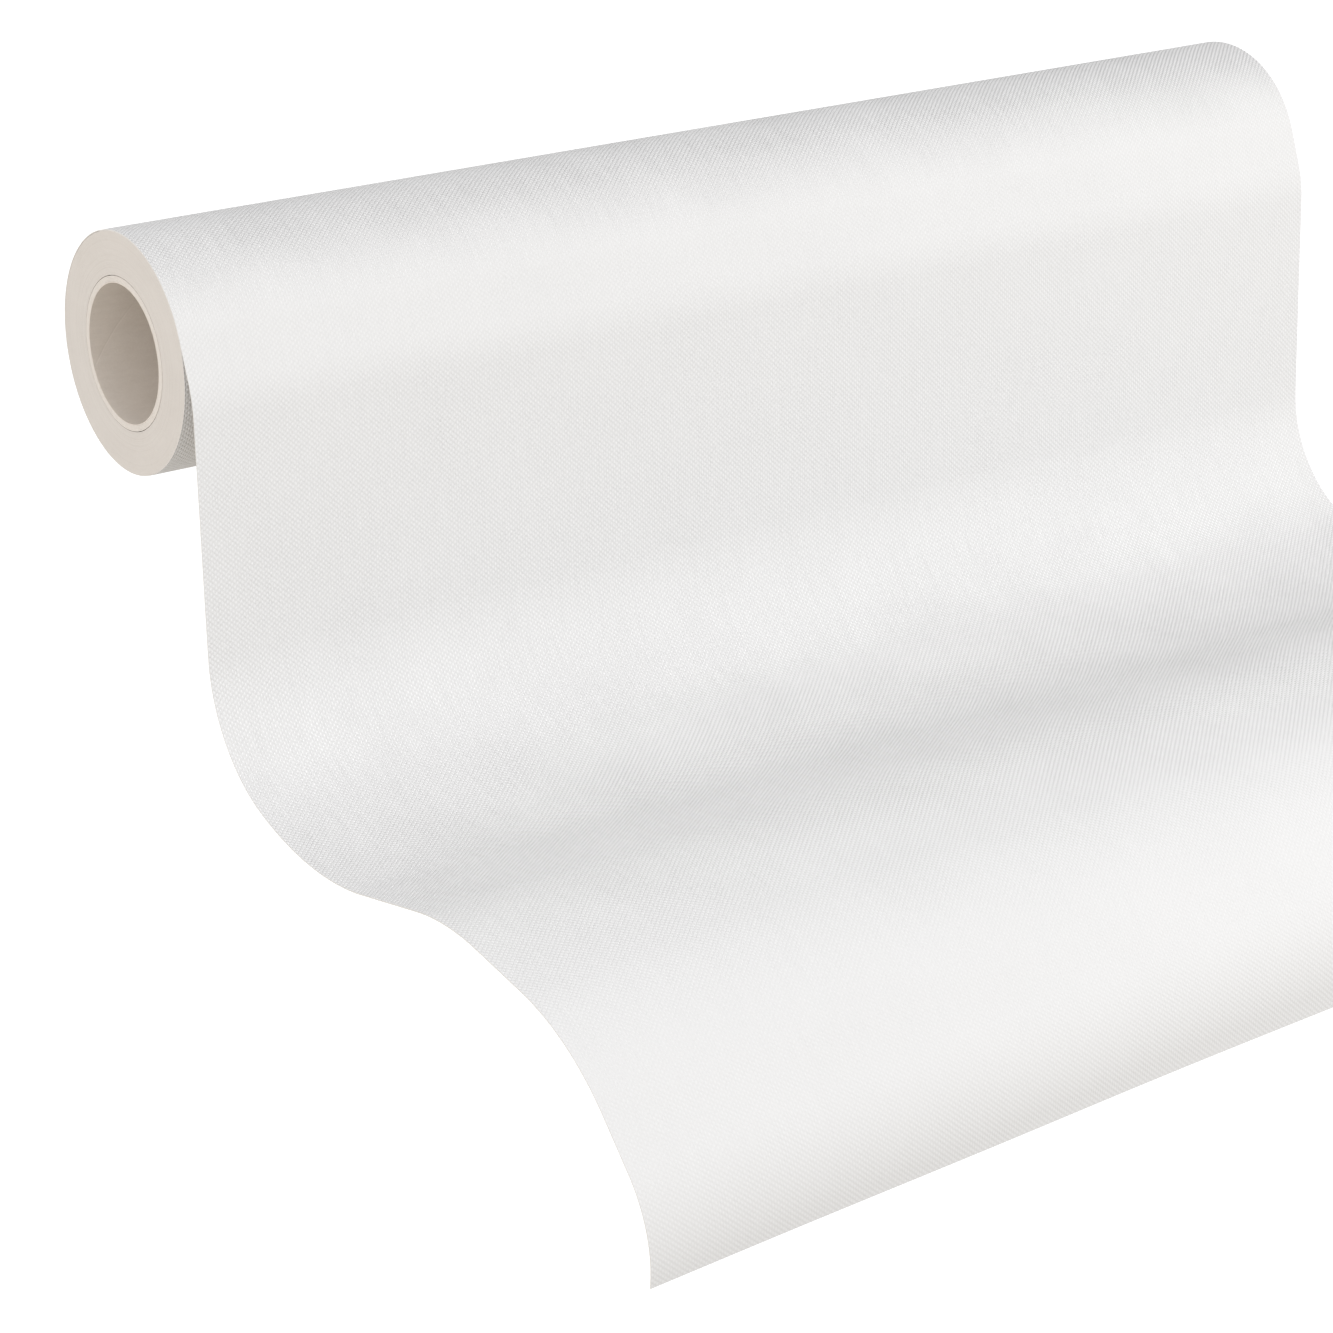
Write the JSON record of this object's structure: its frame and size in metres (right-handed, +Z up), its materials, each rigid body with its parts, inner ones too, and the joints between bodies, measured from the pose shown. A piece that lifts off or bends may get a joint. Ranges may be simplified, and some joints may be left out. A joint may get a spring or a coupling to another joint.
{
  "type": "backdrop paper roll",
  "caption": "Roll of white linen-textured backdrop paper on a hollow paperboard core, part unrolled: the end hangs from the roll, sweeps forward in a soft wave and falls to a straight cut edge.",
  "frame": {"origin": "on the roll's axis, at the middle of its width, inside the core's bore", "axes": "+X along the roll's axis to the right of someone facing the hanging face, +Z up, +Y to the back, away from that face; the paper's end lies towards -Y and -Z"},
  "size_m": [0.53, 0.3676, 0.2728],
  "materials": {
    "core_liner": "matt grey-beige paperboard with a spiral butt seam",
    "core_board": "matt paperboard, cut edge",
    "kraft_tape": "matt kraft paper tape",
    "web_edges": "matt cream stack of cut paper edges",
    "web_face": "matt white with a fine embossed linen weave"
  },
  "bodies": {
    "sheet": {"free_sheet": "web_face", "outer_turn": "web_face"},
    "roll": {"core_liner_ply": "core_liner", "core_body_ply_1": "core_board", "core_body_ply_2": "core_board", "core_body_ply_3": "core_board", "core_outer_ply": "core_board", "start_tape": "kraft_tape", "wound_turns": "web_edges"}
  },
  "joints": [
    {"name": "roll_spin", "type": "hinge", "parent": "sheet", "child": "roll", "pos_m": [0, 0, 0], "axis": [1, 0, 0], "continuous": true}
  ]
}
